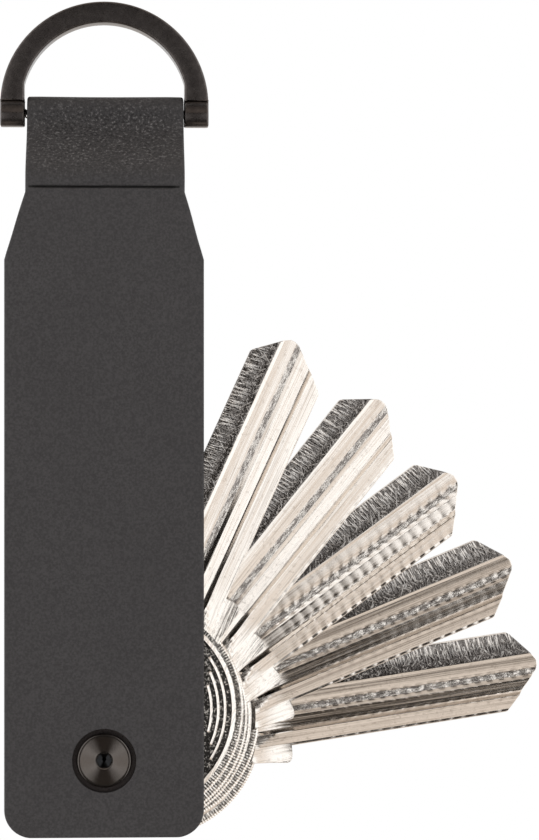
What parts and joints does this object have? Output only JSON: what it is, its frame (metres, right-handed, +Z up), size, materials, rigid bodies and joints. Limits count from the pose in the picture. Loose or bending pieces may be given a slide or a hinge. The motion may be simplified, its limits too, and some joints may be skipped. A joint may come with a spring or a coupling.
{
  "type": "leather key organiser",
  "caption": "Leather strap folded over a D-ring pin, with flat key blanks that fan out from a screw post between its two ends.",
  "frame": {"origin": "hook point at the top of the D-ring's opening, in the middle plane of the part", "axes": "+Z up towards the D-ring, -Y out of the front panel, +X to the side that the keys fan out to"},
  "size_m": [0.0598, 0.0174, 0.0924],
  "materials": {
    "black_metal": "satin black plating",
    "pin_steel": "dark steel",
    "leather": "fine grained matt black",
    "lining": "suede",
    "nylon": "smooth black",
    "turned_steel": "turned, concentric tool marks",
    "nickel": "nickel plate over milled brass"
  },
  "bodies": {
    "ring": {"d_ring": "black_metal", "ring_pin": "pin_steel"},
    "case": {"leather_strap": "leather", "lining_front": "lining", "lining_back": "lining", "seat_front": "black_metal", "seat_back": "black_metal", "washer_front": "nylon", "washer_back": "nylon", "post_barrel": "turned_steel", "post_screw": "turned_steel"},
    "key_1": {"key_1": "nickel"},
    "key_2": {"key_2": "nickel"},
    "key_3": {"key_3": "nickel"},
    "key_4": {"key_4": "nickel"},
    "key_5": {"key_5": "nickel"}
  },
  "joints": [
    {"name": "strap_swing", "type": "hinge", "parent": "ring", "child": "case", "pos_m": [0, 0, -0.00992], "axis": [1, 0, 0], "range_deg": [-110, 110]},
    {"name": "key_1_turn", "type": "hinge", "parent": "case", "child": "key_1", "pos_m": [0, -0.0046, -0.08032], "axis": [0, 1, 0], "continuous": true},
    {"name": "key_2_turn", "type": "hinge", "parent": "case", "child": "key_2", "pos_m": [0, -0.0023, -0.08032], "axis": [0, 1, 0], "continuous": true},
    {"name": "key_3_turn", "type": "hinge", "parent": "case", "child": "key_3", "pos_m": [0, 0, -0.08032], "axis": [0, 1, 0], "continuous": true},
    {"name": "key_4_turn", "type": "hinge", "parent": "case", "child": "key_4", "pos_m": [0, 0.0023, -0.08032], "axis": [0, 1, 0], "continuous": true},
    {"name": "key_5_turn", "type": "hinge", "parent": "case", "child": "key_5", "pos_m": [0, 0.0046, -0.08032], "axis": [0, 1, 0], "continuous": true}
  ]
}
